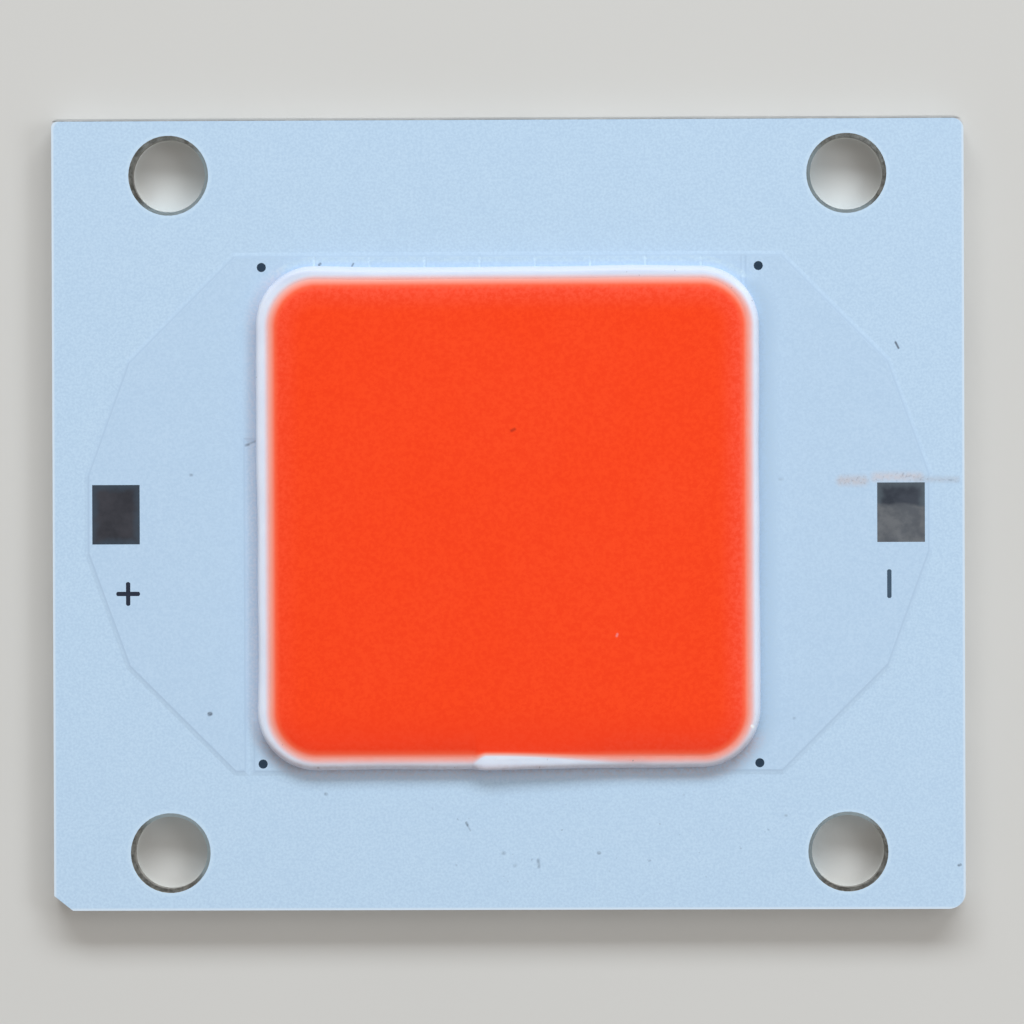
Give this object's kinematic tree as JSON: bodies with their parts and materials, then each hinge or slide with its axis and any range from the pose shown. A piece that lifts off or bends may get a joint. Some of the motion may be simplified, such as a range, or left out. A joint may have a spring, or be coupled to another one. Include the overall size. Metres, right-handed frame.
{
  "type": "cob led",
  "caption": "Chip-on-board LED module: flat aluminium-core board with corner fixing holes, plus and minus solder pads, and a square dammed field of LED chips under orange-red phosphor.",
  "frame": {"origin": "middle of the back face, which goes against the heat sink", "axes": "+Z is the way the light leaves, +X runs along the board from the plus pad to the minus pad"},
  "size_m": [0.046, 0.04, 0.0025],
  "materials": {
    "aluminium": "rolled, bare",
    "insulation": "filled epoxy",
    "solder_mask": "white mask, satin",
    "copper": "etched copper foil",
    "tin": "tinned, dull grey",
    "dam_silicone": "white silicone",
    "phosphor": "orange-red phosphor silicone",
    "chip": "polished sapphire die",
    "bond_wire": "bare gold wire"
  },
  "bodies": {
    "root": {"alignment_dot_bottom_left": "tin", "alignment_dot_bottom_right": "tin", "alignment_dot_top_left": "tin", "alignment_dot_top_right": "tin", "anode_copper": "copper", "base_plate": "aluminium", "cathode_copper": "copper", "chip_column_1": "chip", "chip_column_2": "chip", "chip_column_3": "chip", "chip_column_4": "chip", "chip_column_5": "chip", "chip_column_6": "chip", "chip_column_7": "chip", "chip_column_8": "chip", "chip_column_9": "chip", "dam": "dam_silicone", "insulation_layer": "insulation", "minus_mark": "tin", "phosphor_fill": "phosphor", "plus_mark": "tin", "relay_pad_bottom_1": "copper", "relay_pad_bottom_2": "copper", "relay_pad_bottom_3": "copper", "relay_pad_bottom_4": "copper", "relay_pad_bottom_5": "copper", "relay_pad_bottom_6": "copper", "relay_pad_bottom_7": "copper", "relay_pad_bottom_8": "copper", "relay_pad_top_1": "copper", "relay_pad_top_2": "copper", "relay_pad_top_3": "copper", "relay_pad_top_4": "copper", "relay_pad_top_5": "copper", "relay_pad_top_6": "copper", "relay_pad_top_7": "copper", "relay_pad_top_8": "copper", "solder_mask": "solder_mask", "solder_pad_minus": "tin", "solder_pad_plus": "tin", "wire_column_1": "bond_wire", "wire_column_2": "bond_wire", "wire_column_3": "bond_wire", "wire_column_4": "bond_wire", "wire_column_5": "bond_wire", "wire_column_6": "bond_wire", "wire_column_7": "bond_wire", "wire_column_8": "bond_wire", "wire_column_9": "bond_wire"}
  },
  "joints": []
}
